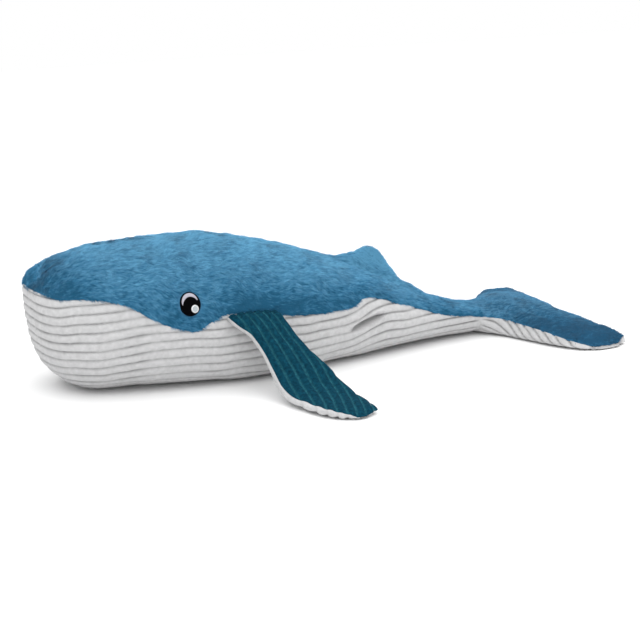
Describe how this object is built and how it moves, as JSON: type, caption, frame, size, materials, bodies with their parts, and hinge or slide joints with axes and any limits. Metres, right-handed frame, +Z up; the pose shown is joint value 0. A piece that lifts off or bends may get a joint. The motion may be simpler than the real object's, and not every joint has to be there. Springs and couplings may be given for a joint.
{
  "type": "plush whale",
  "caption": "Stuffed humpback whale with a furry back, ribbed belly, hinged flippers, a swaying tail and lifting flukes.",
  "frame": {"origin": "on the floor under the middle of the whale's bounding box", "axes": "+X towards the flukes, +Y towards the whale's right side, +Z up; the nose points to -X"},
  "size_m": [0.857, 0.626, 0.1959],
  "materials": {
    "blue_plush": "long pile",
    "blue_plush_short": "short pile",
    "white_ribbed_plush": "wide ribs",
    "teal_ribbed_plush": "wide ribs",
    "fibre_filling": "loose fibre",
    "black_embroidery": "satin stitch",
    "white_embroidery": "satin stitch",
    "lilac_embroidery": "satin stitch"
  },
  "bodies": {
    "body": {"back_cover": "blue_plush", "belly_cover": "white_ribbed_plush", "body_filling": "fibre_filling", "dorsal_fin": "blue_plush", "left_eye_patch": "black_embroidery", "left_eye_crescent": "lilac_embroidery", "left_eye_glint": "white_embroidery", "right_eye_patch": "black_embroidery", "right_eye_crescent": "lilac_embroidery", "right_eye_glint": "white_embroidery"},
    "left_flipper": {"left_flipper_top": "teal_ribbed_plush", "left_flipper_underside": "white_ribbed_plush", "left_flipper_filling": "fibre_filling"},
    "right_flipper": {"right_flipper_top": "teal_ribbed_plush", "right_flipper_underside": "white_ribbed_plush", "right_flipper_filling": "fibre_filling"},
    "tail_stock": {"tail_top_cover": "blue_plush", "tail_underside_cover": "white_ribbed_plush", "tail_filling": "fibre_filling"},
    "flukes": {"fluke_top_cover": "blue_plush_short", "fluke_underside_cover": "white_ribbed_plush", "fluke_filling": "fibre_filling"}
  },
  "joints": [
    {"name": "left_flipper_flap", "type": "hinge", "parent": "body", "child": "left_flipper", "pos_m": [-0.13, -0.11614, 0.09604], "axis": [-1, 0, 0], "range_deg": [-35, 85]},
    {"name": "right_flipper_flap", "type": "hinge", "parent": "body", "child": "right_flipper", "pos_m": [-0.13, 0.11614, 0.09604], "axis": [1, 0, 0], "range_deg": [-35, 85]},
    {"name": "tail_sway", "type": "hinge", "parent": "body", "child": "tail_stock", "pos_m": [0.18254, 0, 0.03506], "axis": [0, 0, 1], "range_deg": [-25, 25]},
    {"name": "fluke_lift", "type": "hinge", "parent": "tail_stock", "child": "flukes", "pos_m": [0.26224, 0, 0.02554], "axis": [0, -1, 0], "range_deg": [-25, 25]}
  ]
}
